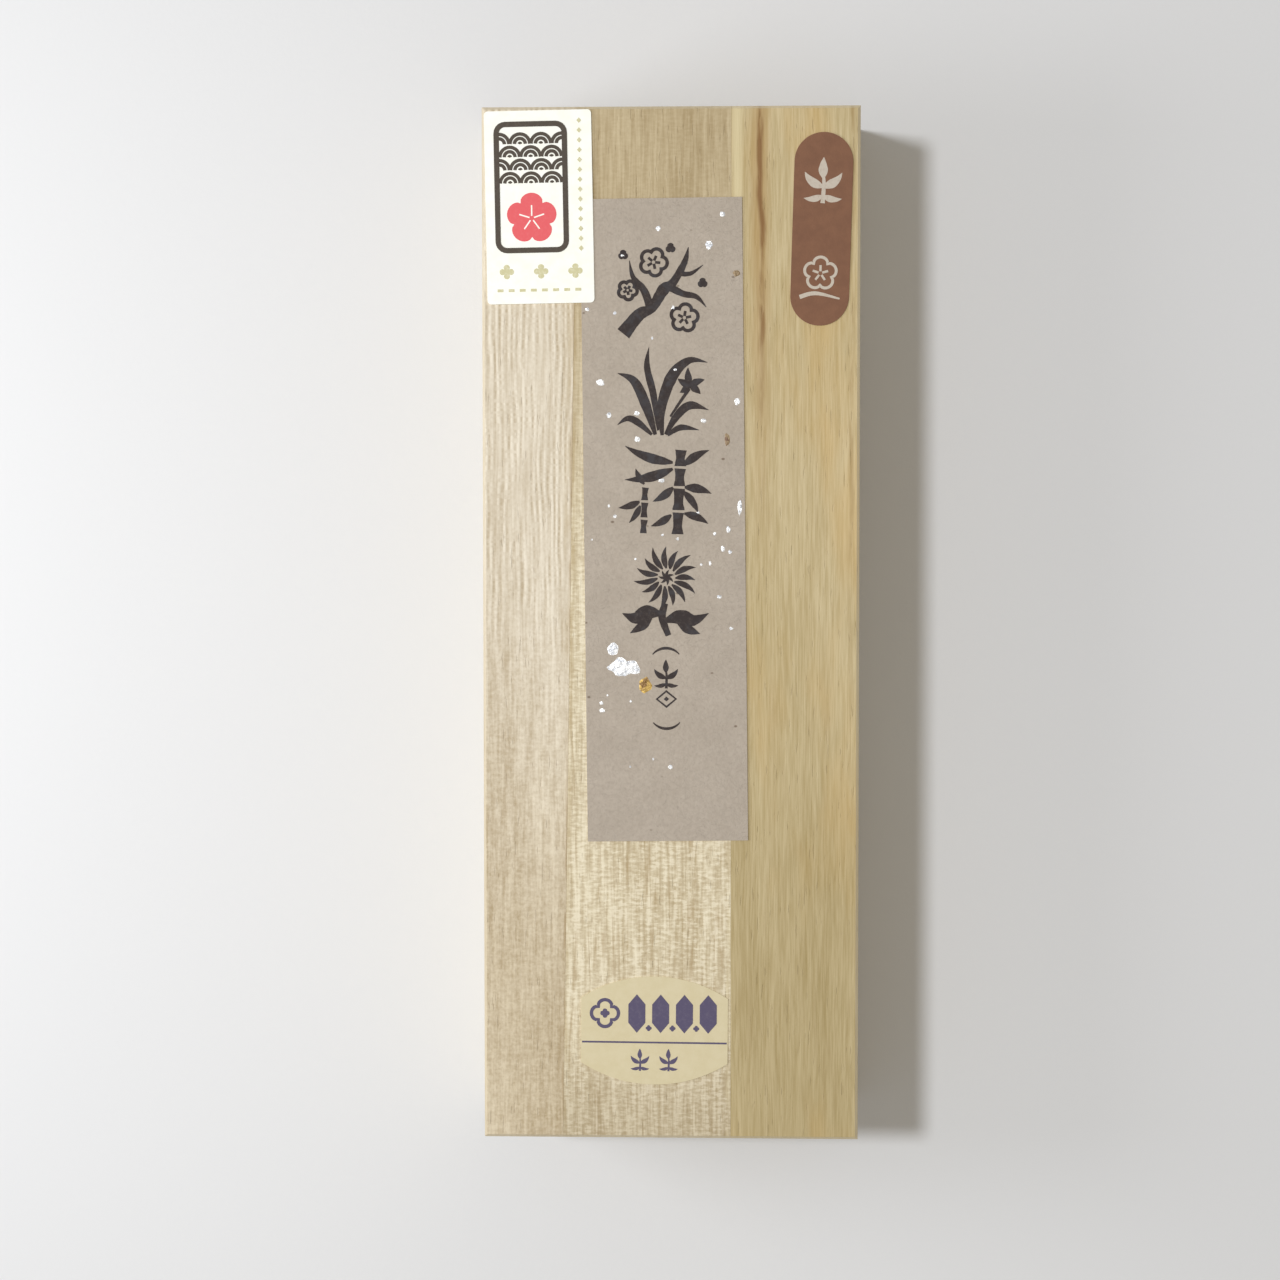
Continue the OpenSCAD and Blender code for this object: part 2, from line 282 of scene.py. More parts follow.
def kiri(name, pale, dark, slow=0.3, stripes=0.3, combed=0.0, fibre=0.15, speckle=0.0, flecks=0.0, lines=0.0,
         pores=0.2, zone=None, streaks=(), warm=0.0, ring_gap=5.0, pith=(-90, -60), along_x=False, seed=0.0,
         tints=(), fibre_per_mm=3.4, run=1.0, rings=0.0, edge=HANDLED_EDGE):
    """Unfinished paulownia. Its grain runs along Y, or along X.

    These say how strong each mark is: slow, the broad change of tone; stripes, the soft bands; combed, the
    even lines; fibre, the finest grain; speckle, a mottle; flecks, the rays across the grain; lines, thin
    dark lines along it; warm, patches of orange; pores; rings, the year rings on the faces.

    zone is (y, y): the combed lines are full at the second, and give way to speckle and flecks at the first.
    Each of tints is ((y, y), colour at the first, colour at the second). pith is the tree's middle, across
    and up, in mm. A run over 1 shortens the grain. edge is the strength and colour of the narrow sloping
    faces: pale where the wood is handled, or a dark painted shade for the shadow in the seam's groove."""
    f = Finish(name, specular_ior_level=0.3)
    if along_x:
        f.turned(math.pi / 2)
    x, y, z = f.spots()

    def field(x_rate, y_rate, z_rate, step, detail=2, roughness=0.5):
        return f.noise(f.place(x_rate, y_rate, z_rate, seed + step), detail, roughness)

    def layer(amount, *pattern):
        return f.times(f.minus(f.span(field(*pattern), 0.28, 0.72), 0.5), amount)

    sway = f.minus(field(0.06, 0.02, 0.06, 0), 0.5)
    bend = f.add("ShaderNodeCombineXYZ", {"X": f.times(sway, 1.6 * MM)}).outputs[0]
    f.source = f.add("ShaderNodeVectorMath", {0: f.source, 1: bend}, operation="ADD").outputs[0]

    striped = f.span(y, *zone) if zone else 1.0
    upright = f.facing(2)
    level = f.span(upright, 0.6, 0.85, 0.15, 1.0)
    mottled = f.times(f.minus(1.0, striped), level)

    across, up = f.minus(x, pith[0]), f.minus(z, pith[1])
    ring = f.math("SQRT", f.plus(f.times(across, across), f.times(up, up)))
    ring_place = f.add("ShaderNodeCombineXYZ", {
        "X": f.times(ring, 1 / ring_gap), "Y": seed, "Z": f.times(y, 0.004)}).outputs[0]
    band = f.span(f.noise(ring_place, 3, 0.6), 0.3, 0.7)

    tone = f.plus(0.5, layer(slow, 0.10, 0.016, 0.10, 0, 3), layer(stripes, 1.5, 0.06 * run, 1.1, 2, 1))
    if rings:
        tone = f.plus(tone, f.times(f.minus(0.5, band), rings))
    if combed:
        slide = field(0.18, 0.05, 0.18, 12)
        phase = f.times(f.plus(f.times(x, COMB_PER_MM), f.times(slide, 3.0)), 2 * math.pi)
        depth = f.span(field(0.7, 0.11, 0.7, 14), 0.3, 0.65)
        bead = f.span(field(0.5, 1.7, 0.5, 22, 1), 0.35, 0.6, 0.35, 1.3)
        tone = f.plus(tone, f.times(f.math("SINE", phase), depth, bead, striped, level, combed / 2))
    tone = f.plus(tone, layer(fibre, fibre_per_mm, 0.2 * run, 3.0, 4))
    if speckle:
        soft = layer(speckle * 0.7, 0.9, 0.6, 0.9, 16)
        fine = layer(speckle, 2.6, 2.0, 2.6, 6)
        threads = layer(speckle * 0.6, 1.9, 0.14, 1.9, 24, 1)
        share = f.plus(f.times(mottled, 0.6), f.times(level, 0.4))
        tone = f.plus(tone, f.times(f.plus(soft, fine, threads), share))
    color = f.mix(tone, dark, pale)

    if flecks:
        thread = field(1.7, 0.11, 1.5, 3, 1)
        ray = field(0.8, 2.4, 1.2, 5, 2, 0.55)
        weave = f.plus(f.times(thread, 0.45), f.times(ray, 0.55))
        share = f.plus(f.times(mottled, 0.75), f.times(level, 0.25))
        color = f.mix(f.times(f.span(weave, 0.49, 0.61), share, flecks * 0.85), color, RAY_PALE)
        color = f.mix(f.times(f.span(weave, 0.49, 0.38), share, flecks * 0.6), color, RAY_DARK)
    if lines:
        off_line = f.math("ABSOLUTE", f.minus(field(0.62, 0.02, 0.6, 8, 1), 0.5))
        gaps = f.span(field(0.8, 0.16, 0.8, 18), 0.42, 0.62)
        share = f.plus(f.times(mottled, 0.8), 0.2) if zone else 1.0
        color = f.mix(f.times(f.span(off_line, 0.036, 0.006), gaps, share, lines), color, LINE_BROWN)
    if warm:
        patch = f.span(field(0.13, 0.035, 0.1, 10, 3), 0.45, 0.75)
        color = f.mix(f.times(patch, warm), color, WARM_PATCH)
    for i, streak in enumerate(streaks):
        color = f.mix(streak.mask(f, x, y, seed + 20 + i), color, streak.color)
    for reach, start_tint, end_tint in tints:
        color = f.mix(1.0, color, f.mix(f.span(y, *reach), start_tint, end_tint), "MULTIPLY")

    pore_mask = f.span(field(2.9, 0.34, 2.9, 11, 1), 0.66, 0.78)
    color = f.mix(f.times(pore_mask, pores), color, PORE_BROWN)

    open_pores = f.span(f.cells(f.place(2.6, shift=seed)), 0.32, 0.16)
    end_color = f.mix(f.times(band, 0.75), END_PALE, END_DARK)
    end_color = f.mix(f.times(open_pores, 0.6), end_color, END_PORE)
    color = f.mix(f.span(f.facing(0 if along_x else 1), 0.78, 0.95), color, end_color)
    # The narrow sloping faces take the edge colour: pale where the wood is handled, or, on the case and
    # battens, a dark painted shade standing for the shadow in the seam's groove.
    slope = f.times(f.span(upright, 0.3, 0.5), f.span(upright, 0.92, 0.8))
    color = f.mix(f.times(slope, edge[0]), color, edge[1])

    f.set("Base Color", color)
    f.set("Roughness", f.span(tone, 0.1, 0.9, 0.66, 0.5))
    f.set("Normal", f.bump(f.minus(1.0, pore_mask), 0.05, f.bump(tone, 0.03)))
    return f.material


def washi():
    """Grey-brown handmade paper: cloudy, fibrous, with dark slubs and a soft uneven face."""
    f = Finish("washi", roughness=0.82, specular_ior_level=0.2)
    cloud = f.noise(f.place(0.16), 4, 0.6)
    color = f.mix(f.span(cloud, 0.3, 0.7), (183, 171, 157), (190, 178, 164))
    pulp = f.noise(f.place(1.9, 1.6, 1), 4, 0.75)
    color = f.mix(f.times(f.span(pulp, 0.35, 0.7), 0.42), color, (166, 153, 139))
    hair = f.noise(f.place(0.5), 3, distortion=2.2)
    strand = f.span(f.math("ABSOLUTE", f.minus(hair, 0.5)), 0.012, 0.0)
    color = f.mix(f.times(strand, 0.22), color, (205, 196, 183))
    slub = f.span(f.cells(f.place(0.21, 0.3, 0.2, 2.0)), 0.075, 0.03)
    color = f.mix(f.times(slub, 0.75), color, (112, 94, 78))
    f.set("Base Color", color)
    soft = f.bump(f.noise(f.place(0.7), 3), 0.09)
    f.set("Normal", f.bump(f.times(strand, 0.6), 0.03, soft))
    return f.material


def sticker_paper(name, color, deep, roughness, grain):
    """Printed label stock: a faint mottle and a fine tooth."""
    f = Finish(name, roughness=roughness)
    mottle = f.noise(f.place(0.5), 4, 0.65)
    tooth = f.noise(f.place(5), 2)
    base = f.mix(f.span(mottle, 0.3, 0.75), color, deep)
    f.set("Base Color", f.mix(f.times(f.span(tooth, 0.4, 0.7), 0.18), base, deep))
    f.set("Normal", f.bump(f.plus(f.times(tooth, 0.4), f.times(mottle, 0.6)), grain))
    return f.material


def printed(name, color, worn, wear=0.3, wash=None):
    """A print or brushed ink: thin places show the paper, and a wash of another tone pools in spots."""
    f = Finish(name, roughness=0.8, specular_ior_level=0.15)
    thin = f.noise(f.place(2.2, 2.2, 2), 4, 0.7)
    inked = f.mix(f.times(f.span(thin, 0.45, 0.75), wear), color, worn)
    if wash:
        pool = f.span(f.noise(f.place(0.45, shift=5.0), 3, distortion=1.0), 0.45, 0.7)
        inked = f.mix(f.times(pool, 0.8), inked, wash)
    f.set("Base Color", inked)
    f.set("Normal", f.bump(thin, 0.02))
    return f.material


def foil(name, bright, shade, metallic):
    """Metal leaf that has been crumpled and pressed: each facet is painted between a lit and a shaded tone,
    as painted highlight and shade for the light that each would catch.
    """
    f = Finish(name, roughness=0.32, metallic=metallic)
    # Painted highlight and shade: each facet takes a tone between the lit colour and the shaded one.
    f.set("Base Color", f.mix(f.span(f.facets(2.6), 0.25, 0.95), bright, shade))
    f.set("Normal", f.bump(f.noise(f.place(2), 3, 0.7), 0.16))
    return f.material


def soot_ink():
    """Dried soot and glue: near black, satin, with fine pits and a faint mottle."""
    f = Finish("soot_ink", coat_weight=0.15, coat_roughness=0.3, specular_ior_level=0.3)
    pits = f.cells(f.place(1.7))
    flow = f.noise(f.place(0.12, 0.03, 0.12), 4, 0.6)
    fine = f.noise(f.place(3), 3)
    color = f.mix(f.span(flow, 0.3, 0.7), (20, 19, 20), (30, 28, 28))
    f.set("Base Color", f.mix(f.times(f.span(fine, 0.55, 0.75), 0.4), color, (46, 43, 42)))
    f.set("Roughness", f.span(flow, 0.3, 0.7, 0.4, 0.55))
    cast = f.bump(f.noise(f.place(0.3, 0.08, 0.3), 3), 0.12)
    f.set("Normal", f.bump(f.span(pits, 0.05, 0.2), 0.02, f.bump(fine, 0.03, cast)))
    return f.material


def gilding():
    """Gold paint laid on the ink's relief by hand, thin and worn brown in places."""
    f = Finish("gilding", metallic=0.85)
    brush = f.noise(f.place(0.9), 5, 0.7)
    tone = f.noise(f.place(0.35, 0.12, 0.35), 2)
    color = f.mix(f.span(tone, 0.35, 0.65), (244, 214, 138), (228, 192, 112))
    f.set("Base Color", f.mix(f.span(brush, 0.6, 0.74), color, (150, 116, 66)))
    f.set("Roughness", f.span(brush, 0.3, 0.7, 0.3, 0.52))
    f.set("Normal", f.bump(brush, 0.05))
    return f.material


RIB_GAP = 0.65


def satin():
    """A pale gold silk: fine ribs across the bed, a sheen, and a slow change of tone over the padding."""
    f = Finish("satin", roughness=0.4, sheen_weight=0.7, sheen_roughness=0.35)
    x, y, z = f.spots()
    tone = f.noise(f.place(0.06, 0.03, 0.06), 2)
    color = f.mix(f.span(tone, 0.3, 0.7), (214, 195, 148), (226, 211, 170))
    slack = f.times(f.noise(f.place(0.25, 0.06, 0.25), 1), 1.2)
    phase = f.times(f.plus(y, f.times(z, 0.8), slack), 2 * math.pi / RIB_GAP)
    rib = f.plus(f.times(f.math("SINE", phase), 0.5), 0.5)
    thread = f.noise(f.place(0.9, 6.0, 4.0), 2)
    color = f.mix(f.times(rib, 0.32), color, (188, 165, 114))
    f.set("Base Color", f.mix(f.times(f.span(thread, 0.45, 0.65), 0.3), color, (242, 231, 202)))
    wrinkle = f.noise(f.place(0.2, 0.28, 0.3), 3, distortion=0.6)
    f.set("Normal", f.bump(thread, 0.05, f.bump(f.minus(1.0, rib), 0.06, f.bump(wrinkle, 0.5))))
    return f.material


def grey_board():
    f = Finish("grey_board", roughness=0.85)
    pulp = f.noise(f.place(1.4, 1.4, 6), 4, 0.7)
    color = f.mix(f.span(pulp, 0.3, 0.7), (196, 190, 176), (176, 168, 152))
    fleck = f.span(f.cells(f.place(0.6)), 0.12, 0.05)
    f.set("Base Color", f.mix(f.times(fleck, 0.6), color, (120, 112, 98)))
    f.set("Normal", f.bump(pulp, 0.05))
    return f.material


# ---------- meshes ----------

def add_piece(name, build, finish, body):
    """A new mesh piece whose faces build(bmesh) makes. It rides on the body and wears the finish."""
    bm = bmesh.new()
    build(bm)
    bmesh.ops.recalc_face_normals(bm, faces=bm.faces)
    mesh = bpy.data.meshes.new(name)
    bm.to_mesh(mesh)
    bm.free()
    obj = new_object(name, mesh)
    obj.data.materials.append(finish)
    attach(obj, body)
    return obj


def prism(bm, outline, low, high):
    """A flat plate with this outline, a list of (x, y)."""
    tops = [bm.verts.new((x, y, high)) for x, y in outline]
    feet = [bm.verts.new((x, y, low)) for x, y in outline]
    bm.faces.new(tops)
    bm.faces.new(feet[::-1])
    for i in range(len(outline)):
        j = (i + 1) % len(outline)
        bm.faces.new((tops[i], feet[i], feet[j], tops[j]))


def loft(bm, rows, closed=False):
    """Walls from each ring of points to the next, and a cap on both ends of an open run."""
    sides = len(rows[0])
    for a, b in zip(rows, rows[1:] + rows[:1] if closed else rows[1:]):
        for k in range(sides):
            m = (k + 1) % sides
            bm.faces.new((a[k], a[m], b[m], b[k]))
    if not closed:
        bm.faces.new(rows[0])
        bm.faces.new(rows[-1][::-1])


def ribbon(bm, line, low, high, closed=False):
    """A flat band along a line of (x, y, width)."""
    rows = []
    count = len(line)
    for i, (x, y, width) in enumerate(line):
        before = line[(i - 1) % count] if closed else line[max(i - 1, 0)]
        after = line[(i + 1) % count] if closed else line[min(i + 1, count - 1)]
        along = Vector((after[0] - before[0], after[1] - before[1]))
        if along.length < 1e-9:
            along = Vector((1, 0))
        side = Vector((-along.y, along.x)).normalized() * width / 2
        rows.append([bm.verts.new((x + s * side.x, y + s * side.y, z)) for s, z in
                     ((1, high), (-1, high), (-1, low), (1, low))])
    loft(bm, rows, closed)


def curve_through(points, steps=7):
    """A smooth line through points of any length, as a Catmull-Rom spline."""
    ends = [points[0], *points, points[-1]]
    line = []
    for i in range(1, len(ends) - 2):
        p0, p1, p2, p3 = ends[i - 1:i + 3]
        for k in range(steps):
            t = k / steps
            line.append(tuple(
                0.5 * (2 * b + (c - a) * t + (2 * a - 5 * b + 4 * c - d) * t * t
                       + (3 * b - a - 3 * c + d) * t ** 3)
                for a, b, c, d in zip(p0, p1, p2, p3)))
    return line + [tuple(points[-1])]


def ring_line(x, y, radius, width, count=20, start=0.0, sweep=360.0):
    """Points along a circle or an arc, for ribbon()."""
    spots = count if sweep >= 360 else count + 1
    turns = [math.radians(start + sweep * i / count) for i in range(spots)]
    return [(x + radius * math.cos(a), y + radius * math.sin(a), width) for a in turns]


class Label:
    """A label's own plane: draws prints in mm from the label's centre, at the angle that it sits at."""
    THICK = 0.015
    # Each stroke lies this much higher than the one before, so that no two share a plane where they cross
    STEP = 0.001

    def __init__(self, node, turn):
        low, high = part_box(node)
        self.place = Matrix.Translation(((low.x + high.x) / 2, (low.y + high.y) / 2, high.z))
        self.place = self.place @ Matrix.Rotation(math.radians(turn), 4, "Z") @ Matrix.Scale(MM, 4)

    def draw(self, name, finish, slot, strokes=(), rings=(), plates=(), lift=0.0):
        """strokes are open lines of (x, y, width), rings closed ones, and plates outlines of (x, y)."""
        def build(bm):
            level = lift + self.THICK
            for line, closed in [(s, False) for s in strokes] + [(r, True) for r in rings]:
                ribbon(bm, line, -self.THICK, level, closed)
                level += self.STEP
            for outline in plates:
                prism(bm, outline, -self.THICK, level)
                level += self.STEP
            bm.transform(self.place)
        return add_piece(name, build, finish, "lid")


HAIRLINE = 0.04


def brush(points, steps=7):
    """A brush stroke: a smooth line whose width swells and thins, with the bristles' small unevenness."""
    line = []
    for x, y, width in curve_through(points, steps):
        rough = 1 + 0.10 * noise.noise(Vector((x * 1.7, y * 1.7, 3.1)))
        line.append((x, y, max(HAIRLINE, width * rough)))
    return line


# A leaf's points, each as its share of the length, of the width and of the bend
LEAF_SHAPE = ((0.0, 0.25, 0.0), (0.22, 0.85, 0.6), (0.45, 1.0, 1.0), (0.75, 0.6, 0.8), (1.0, 0.03, 0.0))


def leaf_stroke(x, y, length, angle, width, bend=0.12):
    """A stroke that starts fine, swells and ends in a point."""
    a = math.radians(angle)
    c, s = math.cos(a), math.sin(a)
    return brush([(x + c * length * t - s * length * bend * bow, y + s * length * t + c * length * bend * bow,
                   width * swell) for t, swell, bow in LEAF_SHAPE], steps=4)


def blossom_outline(x, y, radius, petals=5, start=90.0, depth=0.30, count=60):
    """The outline of a flower with rounded petals."""
    outline = []
    for i in range(count):
        a = 360.0 * i / count
        lobe = abs(math.cos(math.radians(petals * a / 2)))
        r = radius * (1 - depth + depth * lobe ** 0.6)
        outline.append((x + r * math.cos(math.radians(a + start)), y + r * math.sin(math.radians(a + start))))
    return outline


def traced(outline, width):
    """An outline as a line of this width, for a ring."""
    return [(x, y, width) for x, y in outline]


def stamen_lines(x, y, inner, outer, width, start=90.0):
    """A short line towards each of a blossom's five petals."""
    turns = [math.radians(start + 72 * i) for i in range(5)]
    return [[(x + math.cos(a) * r, y + math.sin(a) * r, width) for r in (inner, outer)] for a in turns]


def blossom_lines(x, y, radius, width, start=90.0):
    """A blossom in outline, and its stamens."""
    rim = traced(blossom_outline(x, y, radius, start=start), width)
    return [rim], stamen_lines(x, y, radius * 0.12, radius * 0.5, width * 0.8, start)


def moved(line, dx, dy, scale=1.0):
    """A line or outline, scaled and moved."""
    return [(p[0] * scale + dx, p[1] * scale + dy, *(w * scale for w in p[2:])) for p in line]


# ---------- the title slip ----------

def plum():
    strokes = [brush(points) for points in (
        [(-5.7, -6.0, 2.1), (-3.4, -3.3, 1.8), (-1.5, -2.3, 1.4), (0.2, 0.3, 1.7), (1.6, 1.3, 1.2),
         (3.3, 4.2, 0.9), (3.9, 6.4, 0.1)],
        [(-1.7, -2.4, 1.2), (-2.6, 0.2, 1.1), (-4.2, 2.2, 0.7), (-4.7, 4.6, 0.08)],
        [(0.9, 0.8, 1.2), (3.0, -0.3, 0.95), (5.0, -0.8, 0.7), (6.4, -2.3, 0.08)],
        [(2.4, 2.6, 0.8), (4.2, 2.6, 0.6), (6.0, 3.8, 0.08)],
    )]
    rings = []
    for x, y, r in ((-1.2, 4.3, 2.0), (3.2, -3.8, 2.0), (-5.0, 0.3, 1.4)):
        rim, stamens = blossom_lines(x, y, r, 0.5, start=90 + 20 * x)
        rings += rim
        strokes += stamens
    buds = [blossom_outline(x, y, 0.75, petals=3, count=18) for x, y in ((5.9, 1.2), (1.3, 6.3), (-5.6, 5.4))]
    return strokes, rings, buds


def orchid():
    strokes = [brush(points) for points in (
        [(-0.2, -6.3, 0.5), (-0.3, -2.4, 1.3), (1.3, 2.2, 1.7), (3.8, 4.5, 1.0), (6.5, 4.2, 0.06)],
        [(-1.2, -6.2, 0.5), (-2.5, -2.0, 1.4), (-4.2, 1.6, 1.2), (-6.6, 2.8, 0.06)],
        [(0.3, -6.2, 0.5), (1.9, -3.6, 1.1), (3.9, -2.0, 1.2), (6.6, -2.7, 0.06)],
        [(-1.7, -6.2, 0.4), (-3.7, -4.4, 1.0), (-5.2, -3.8, 0.8), (-6.7, -4.7, 0.06)],
        [(-0.8, -5.6, 0.3), (-1.4, -0.5, 1.0), (-2.3, 3.6, 0.9), (-2.0, 6.5, 0.06)],
        [(0.6, -6.3, 0.4), (2.5, -5.2, 0.9), (5.2, -5.6, 0.06)],
    )]
    for angle, length in ((20, 2.3), (95, 2.6), (150, 2.0), (215, 1.8), (-40, 2.0)):
        strokes.append(leaf_stroke(3.9, 0.9, length, angle, 1.05, bend=0.05))
    strokes.append(brush([(3.8, 0.4, 0.5), (2.8, -1.0, 0.45), (1.0, -3.6, 0.3)]))
    return strokes, [], []


def bamboo():
    strokes = []
    for x, width, lengths in ((1.9, 1.5, (-6.4, -2.9, 0.6, 3.5, 6.2)), (-3.1, 0.9, (-6.2, -3.9, -1.4, 0.8))):
        for low, high in zip(lengths, lengths[1:]):
            lean = 0.05 * (low + 6)
            strokes.append(brush([(x + lean, low + 0.18, width * 1.15),
                                  (x + lean + 0.05, (low + high) / 2, width * 0.85),
                                  (x + lean + 0.15, high - 0.18, width * 1.15)]))
    for leaf in (
            (1.3, 4.2, 7.4, 160, 1.4), (1.3, 3.3, 7.2, 192, 1.45), (1.3, 0.6, 3.6, 214, 1.2),
            (2.9, 3.8, 4.3, 30, 1.25), (3.0, 0.6, 4.0, -14, 1.3), (2.8, 0.0, 3.8, -56, 1.1),
            (-2.9, 1.1, 2.6, 118, 0.9), (-3.6, -1.4, 3.2, 196, 1.05), (-3.5, -2.0, 3.0, 236, 0.9),
            (1.0, -3.4, 3.4, 208, 1.1), (2.9, -3.2, 3.8, -24, 1.15)):
        strokes.append(leaf_stroke(*leaf, bend=0.06))
    return strokes, [], []


def chrysanthemum():
    strokes = []
    for i in range(15):
        angle = 90 + 24 * i
        reach = 4.5 + 0.35 * math.sin(i * 2.1)
        a = math.radians(angle)
        strokes.append(leaf_stroke(0.2 + 1.3 * math.cos(a), 2.0 + 1.3 * math.sin(a), reach - 1.3, angle, 0.85,
                                   bend=0.1))
    for i in range(7):
        strokes.append(leaf_stroke(0.2, 2.0, 1.15, 70 + 51 * i, 0.42))
    strokes.append(brush([(0.0, -1.8, 0.8), (-0.5, -3.8, 1.1), (0.4, -6.5, 0.8)]))
    for points in (
            [(-0.5, -3.4, 0.5), (-2.6, -3.1, 2.1), (-4.4, -3.9, 1.7), (-6.3, -3.2, 0.06)],
            [(-2.0, -3.6, 0.5), (-3.4, -5.0, 1.4), (-5.2, -6.1, 0.06)],
            [(-0.2, -4.4, 0.5), (2.1, -3.8, 2.1), (4.1, -4.3, 1.6), (6.3, -3.3, 0.06)],
            [(1.7, -4.4, 0.5), (3.3, -5.6, 1.4), (5.0, -6.3, 0.06)]):
        strokes.append(brush(points))
    return strokes, [], []


def tea_sprig(x, y, size):
    """Five leaves on a stalk, drawn 6 mm high and scaled to this size."""
    strokes = [brush([(0.0, -3.0, 0.6), (0.1, -0.5, 0.5), (0.0, 1.0, 0.3)])]
    strokes += [leaf_stroke(0.0, *leaf) for leaf in (
        (0.4, 2.8, 90, 1.25, 0.02), (-0.8, 3.2, 38, 1.2, -0.12), (-0.8, 3.2, 142, 1.2, 0.12),
        (-2.0, 2.6, -8, 0.9, -0.1), (-2.0, 2.6, 188, 0.9, 0.1))]
    return [moved(stroke, x, y, size / 6.0) for stroke in strokes]


def diamond(x, y, width, height):
    return [(x, y + height / 2), (x + width / 2, y), (x, y - height / 2), (x - width / 2, y)]


def gem(x, y, width, height):
    """A tall six-sided plate."""
    half, shoulder = width / 2, height * 0.24
    return [(x, y + height / 2), (x + half, y + shoulder), (x + half, y - shoulder), (x, y - height / 2),
            (x - half, y - shoulder), (x - half, y + shoulder)]


SLIP_TURN = 0.6
MOTIF_TOP = 33.3
MOTIF_STEP = 14.5
CARTOUCHE_Y = (-19.0, -29.9)


def dress_slip():
    slip = Label("title_slip", SLIP_TURN)
    sumi = printed("sumi", (63, 56, 55), (106, 96, 90), wear=0.45, wash=(74, 72, 75))
    for i, motif in enumerate((plum, orchid, bamboo, chrysanthemum)):
        drawing = [[moved(line, 0, MOTIF_TOP - MOTIF_STEP * i) for line in kind] for kind in motif()]
        slip.draw("slip_ink_" + motif.__name__, sumi, "brush_ink", *drawing)
    head, foot = CARTOUCHE_Y
    arcs = []
    for y, start in ((head - 2.1, 40), (foot + 2.1, 220)):
        line = ring_line(0, y, 2.55, 0, count=16, start=start, sweep=100)
        arcs.append([(px, py, 0.14 + 0.28 * math.sin(math.pi * i / 16))
                     for i, (px, py, _) in enumerate(line)])
    small = traced(diamond(0, foot + 3.9, 2.8, 2.3), 0.34)
    slip.draw("slip_ink_cartouche", sumi, "brush_ink", arcs + tea_sprig(0, head - 3.4, 4.1), [small],
              [diamond(0, foot + 3.9, 0.8, 0.7)])


# ---------- the stickers ----------

SEAL_TURN = 1.0
SEAL_FRAME = (-6.45, -6.6, 4.25, 12.4)
SEAL_LINE = 0.78
SEAL_BLOSSOM_Y = -1.6
WAVES_Y = 3.5
FLOWERS_Y = -9.3
DASHES_Y = -12.0
DASH_STEP = 1.62
BEADS_X = 6.0
BEAD_STEP = 1.42


def rounded_line(x0, y0, x1, y1, radius, width):
    """A closed line round a rectangle with rounded corners."""
    line = []
    for cx, cy, start in ((x1 - radius, y1 - radius, 0), (x0 + radius, y1 - radius, 90),
                          (x0 + radius, y0 + radius, 180), (x1 - radius, y0 + radius, 270)):
        line += ring_line(cx, cy, radius, width, count=5, start=start, sweep=90)
    return line


def dress_seal():
    seal = Label("seal_sticker", SEAL_TURN)
    dark = printed("seal_dark", (88, 80, 72), (118, 110, 99), wear=0.3)
    red = printed("seal_red", (236, 106, 111), (240, 132, 134), wear=0.35)
    gold = printed("seal_gold", (213, 207, 165), (238, 234, 208), wear=0.75)

    x0, y0, x1, y1 = SEAL_FRAME
    half = SEAL_LINE / 2
    frame_line = rounded_line(x0 + half, y0 + half, x1 - half, y1 - half, 1.3, SEAL_LINE)
    waves = []
    step = (x1 - x0 - 2 * SEAL_LINE) / 3
    for row in range(4):
        cy = WAVES_Y + row * step * 0.62
        for column in range(3 + row % 2):
            cx = x0 + SEAL_LINE + step * (column + 0.5 - 0.5 * (row % 2))
            start = 0 if cx < x0 + step * 3 else 90
            sweep = 180 if row % 2 == 0 or 0 < column < 3 else 90
            for r in (0.47, 0.26):
                waves.append(ring_line(cx, cy, step * r, 0.5, count=14, start=start, sweep=sweep))
            if sweep == 180:
                waves.append(ring_line(cx, cy, step * 0.06, 0.34, count=4, sweep=180))
    middle = (x0 + x1) / 2
    seal.draw("seal_print_frame", dark, "print_dark", strokes=waves, rings=[frame_line])
    seal.draw("seal_print_blossom", red, "print_red",
              plates=[blossom_outline(middle, SEAL_BLOSSOM_Y, 3.7, depth=0.27)])
    paper = NODES["seal_sticker"].data.materials[0]
    seal.draw("seal_print_stamens", paper, "seal_paper",
              strokes=stamen_lines(middle, SEAL_BLOSSOM_Y, 0.35, 1.9, 0.2), lift=0.01)

    flowers = [blossom_outline(x, FLOWERS_Y, 1.05, petals=4, depth=0.5, count=32) for x in (-4.9, 0.1, 5.1)]
    dashes = [[(x, DASHES_Y, 0.42), (x + 0.85, DASHES_Y, 0.42)]
              for x in (-6.3 + DASH_STEP * i for i in range(8))]
    column = [diamond(BEADS_X, y1 - BEAD_STEP * i, 0.7, 0.8) for i in range(14)]
    seal.draw("seal_print_gold", gold, "print_gold", strokes=dashes, plates=flowers + column)


KIND_TURN = -1.7
KIND_STEP = 6.9
TWIG = ((-2.9, -3.0, 0.6), (-0.6, -2.4, 0.55), (2.9, -3.1, 0.25))


def dress_kind_label():
    label = Label("kind_label", KIND_TURN)
    pale = printed("kind_pale", (203, 192, 178), (170, 150, 132), wear=0.4)
    rim, stamens = blossom_lines(0.0, -KIND_STEP + 0.5, 2.35, 0.42)
    twig = moved(TWIG, 0, -KIND_STEP)
    strokes = tea_sprig(0.0, KIND_STEP, 6.4) + stamens + [brush(twig)]
    label.draw("kind_print", pale, "print_pale", strokes, rim)


PRICE_TURN = -0.4
PRICE_RULE_Y = -1.77
ROSETTE_AT = (-7.3, 2.5)
GEM_X = -2.6
GEM_STEP = 3.5


